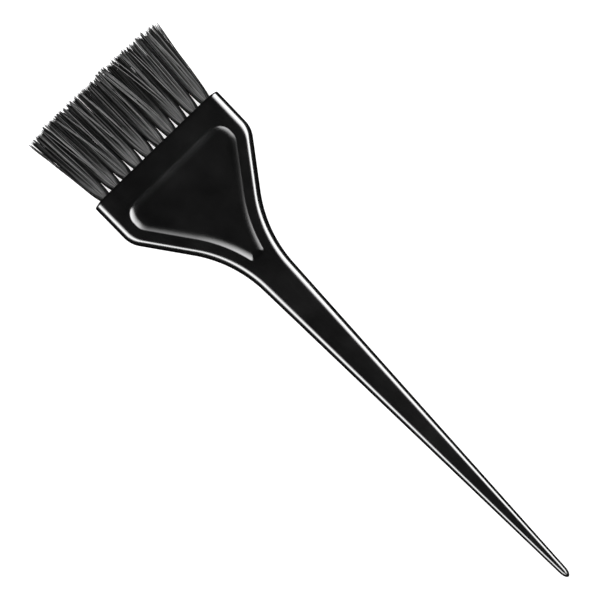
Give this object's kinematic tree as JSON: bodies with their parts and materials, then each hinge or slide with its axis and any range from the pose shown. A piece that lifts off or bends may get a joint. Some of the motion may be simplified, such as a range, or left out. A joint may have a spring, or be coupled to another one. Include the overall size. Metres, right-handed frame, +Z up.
{
  "type": "tint brush",
  "caption": "Flat hair-colouring brush: black handle with a flared head, a sunken panel on each face and a long tapering tail, with a row of springy dark bristle tufts.",
  "frame": {"origin": "centre of the brush's length and width, on the plane of its flat underside", "axes": "+Y from the tail to the bristle tips, +X across the width of the head, +Z up through its thickness"},
  "size_m": [0.0538, 0.22, 0.008],
  "materials": {
    "black_plastic": "glossy injection-moulded black plastic",
    "bristle_nylon": "dark grey semi-gloss nylon filaments",
    "anchor_wire": "bright flat steel wire"
  },
  "bodies": {
    "handle": {"handle": "black_plastic", "anchor_01": "anchor_wire", "anchor_02": "anchor_wire", "anchor_03": "anchor_wire", "anchor_04": "anchor_wire", "anchor_05": "anchor_wire", "anchor_06": "anchor_wire", "anchor_07": "anchor_wire", "anchor_08": "anchor_wire", "anchor_09": "anchor_wire", "anchor_10": "anchor_wire", "tuft_root_01": "bristle_nylon", "tuft_root_02": "bristle_nylon", "tuft_root_03": "bristle_nylon", "tuft_root_04": "bristle_nylon", "tuft_root_05": "bristle_nylon", "tuft_root_06": "bristle_nylon", "tuft_root_07": "bristle_nylon", "tuft_root_08": "bristle_nylon", "tuft_root_09": "bristle_nylon", "tuft_root_10": "bristle_nylon"},
    "bristles_01": {"tuft_01": "bristle_nylon"},
    "bristles_02": {"tuft_02": "bristle_nylon"},
    "bristles_03": {"tuft_03": "bristle_nylon"},
    "bristles_04": {"tuft_04": "bristle_nylon"},
    "bristles_05": {"tuft_05": "bristle_nylon"},
    "bristles_06": {"tuft_06": "bristle_nylon"},
    "bristles_07": {"tuft_07": "bristle_nylon"},
    "bristles_08": {"tuft_08": "bristle_nylon"},
    "bristles_09": {"tuft_09": "bristle_nylon"},
    "bristles_10": {"tuft_10": "bristle_nylon"}
  },
  "joints": [
    {"name": "flex_01", "type": "hinge", "parent": "handle", "child": "bristles_01", "pos_m": [-0.02218, 0.08415, 0.0039], "axis": [1, 0, 0], "range_deg": [-40, 40], "stiffness_Nm_per_rad": 0.0055},
    {"name": "flex_02", "type": "hinge", "parent": "handle", "child": "bristles_02", "pos_m": [-0.01725, 0.08415, 0.0039], "axis": [1, 0, 0], "range_deg": [-40, 40], "stiffness_Nm_per_rad": 0.0055},
    {"name": "flex_03", "type": "hinge", "parent": "handle", "child": "bristles_03", "pos_m": [-0.01232, 0.08415, 0.0039], "axis": [1, 0, 0], "range_deg": [-40, 40], "stiffness_Nm_per_rad": 0.0055},
    {"name": "flex_04", "type": "hinge", "parent": "handle", "child": "bristles_04", "pos_m": [-0.00739, 0.08415, 0.0039], "axis": [1, 0, 0], "range_deg": [-40, 40], "stiffness_Nm_per_rad": 0.0055},
    {"name": "flex_05", "type": "hinge", "parent": "handle", "child": "bristles_05", "pos_m": [-0.00247, 0.08415, 0.0039], "axis": [1, 0, 0], "range_deg": [-40, 40], "stiffness_Nm_per_rad": 0.0055},
    {"name": "flex_06", "type": "hinge", "parent": "handle", "child": "bristles_06", "pos_m": [0.00247, 0.08415, 0.0039], "axis": [1, 0, 0], "range_deg": [-40, 40], "stiffness_Nm_per_rad": 0.0055},
    {"name": "flex_07", "type": "hinge", "parent": "handle", "child": "bristles_07", "pos_m": [0.00739, 0.08415, 0.0039], "axis": [1, 0, 0], "range_deg": [-40, 40], "stiffness_Nm_per_rad": 0.0055},
    {"name": "flex_08", "type": "hinge", "parent": "handle", "child": "bristles_08", "pos_m": [0.01232, 0.08415, 0.0039], "axis": [1, 0, 0], "range_deg": [-40, 40], "stiffness_Nm_per_rad": 0.0055},
    {"name": "flex_09", "type": "hinge", "parent": "handle", "child": "bristles_09", "pos_m": [0.01725, 0.08415, 0.0039], "axis": [1, 0, 0], "range_deg": [-40, 40], "stiffness_Nm_per_rad": 0.0055},
    {"name": "flex_10", "type": "hinge", "parent": "handle", "child": "bristles_10", "pos_m": [0.02218, 0.08415, 0.0039], "axis": [1, 0, 0], "range_deg": [-40, 40], "stiffness_Nm_per_rad": 0.0055}
  ]
}
